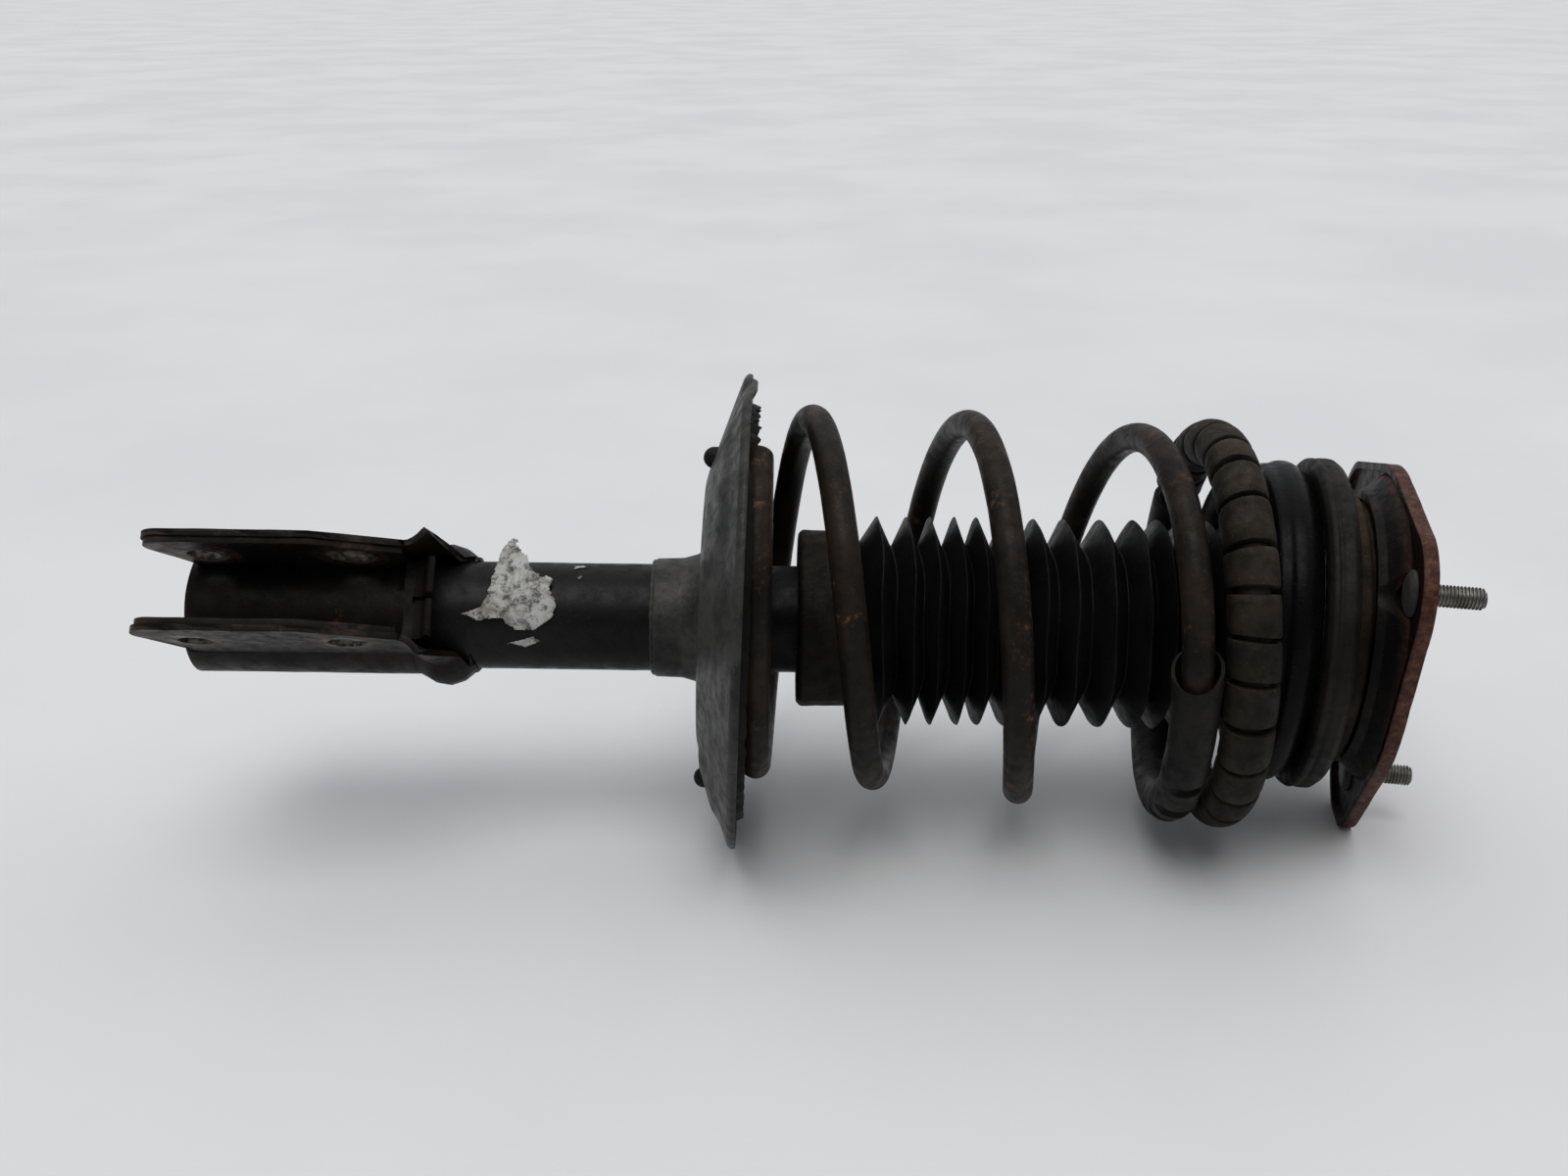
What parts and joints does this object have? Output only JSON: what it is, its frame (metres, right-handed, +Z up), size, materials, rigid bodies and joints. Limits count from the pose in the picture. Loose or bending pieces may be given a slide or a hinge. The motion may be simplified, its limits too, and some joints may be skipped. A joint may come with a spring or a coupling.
{
  "type": "strut assembly",
  "caption": "Front suspension strut with coil spring, lower spring seat, rubber boot, two-ear knuckle bracket and studded top mount.",
  "frame": {"origin": "centre of the stud circle on the outer face of the top mount plate", "axes": "+X along the damper axis towards the top mount, +Z up as the strut lies on its side"},
  "size_m": [0.6109, 0.226, 0.2273],
  "materials": {
    "black_paint": "satin",
    "bracket_paint": "worn satin",
    "seat_paint": "dusty satin",
    "rubber_black": "matte",
    "steel": "ground",
    "paper": "matte",
    "spring_paint": "rusty satin",
    "boot_rubber": "satin",
    "seat_gloss": "gloss",
    "sleeve_rubber": "matte",
    "cage_plastic": "matte",
    "cap_plastic": "matte",
    "mount_rubber": "matte",
    "rust_paint": "rusty",
    "zinc": "plated",
    "hard_chrome": "polished",
    "foam": "matte",
    "ptfe": "matte"
  },
  "bodies": {
    "strut_body": {"outer_tube": "black_paint", "knuckle_bracket": "bracket_paint", "bracket_reinforcement": "bracket_paint", "spring_seat": "seat_paint", "lower_spring_pad": "rubber_black", "pressure_tube": "steel", "base_valve": "steel", "rod_guide": "steel", "rod_seal": "rubber_black", "bump_cap": "steel", "label_remnant": "paper", "coil_spring": "spring_paint", "dust_boot": "boot_rubber"},
    "spring_top": {"upper_spring_seat": "seat_gloss", "bearing_lower_race": "steel", "coil_sleeve": "sleeve_rubber", "segmented_sleeve": "sleeve_rubber", "mount_core": "steel", "piston_rod": "hard_chrome", "piston": "steel", "piston_band": "ptfe", "rebound_stop": "rubber_black", "jounce_bumper": "foam", "rod_washer": "zinc", "rod_nut": "zinc"},
    "bearing_cage": {"bearing_cage": "cage_plastic", "bearing_balls": "hard_chrome"},
    "top_mount": {"bearing_cap": "cap_plastic", "bearing_upper_race": "steel", "mount_rubber": "mount_rubber", "mount_plate": "rust_paint", "mount_studs": "zinc"}
  },
  "joints": [
    {"name": "damper_travel", "type": "slide", "parent": "strut_body", "child": "spring_top", "axis": [1, 0, 0], "range_m": [-0.12, 0], "stiffness_N_per_m": 26000, "deforming": ["coil_spring", "dust_boot", "coil_sleeve", "segmented_sleeve"]},
    {"name": "mount_turn", "type": "hinge", "parent": "spring_top", "child": "top_mount", "pos_m": [0, 0, 0], "axis": [0.9925, -0.1219, -0.0087], "continuous": true},
    {"name": "cage_turn", "type": "hinge", "parent": "spring_top", "child": "bearing_cage", "pos_m": [0, 0, 0], "axis": [0.9925, -0.1219, -0.0087], "continuous": true}
  ],
  "couplings": [
    {"joint": "cage_turn", "follows": "mount_turn", "ratio": 0.5}
  ]
}
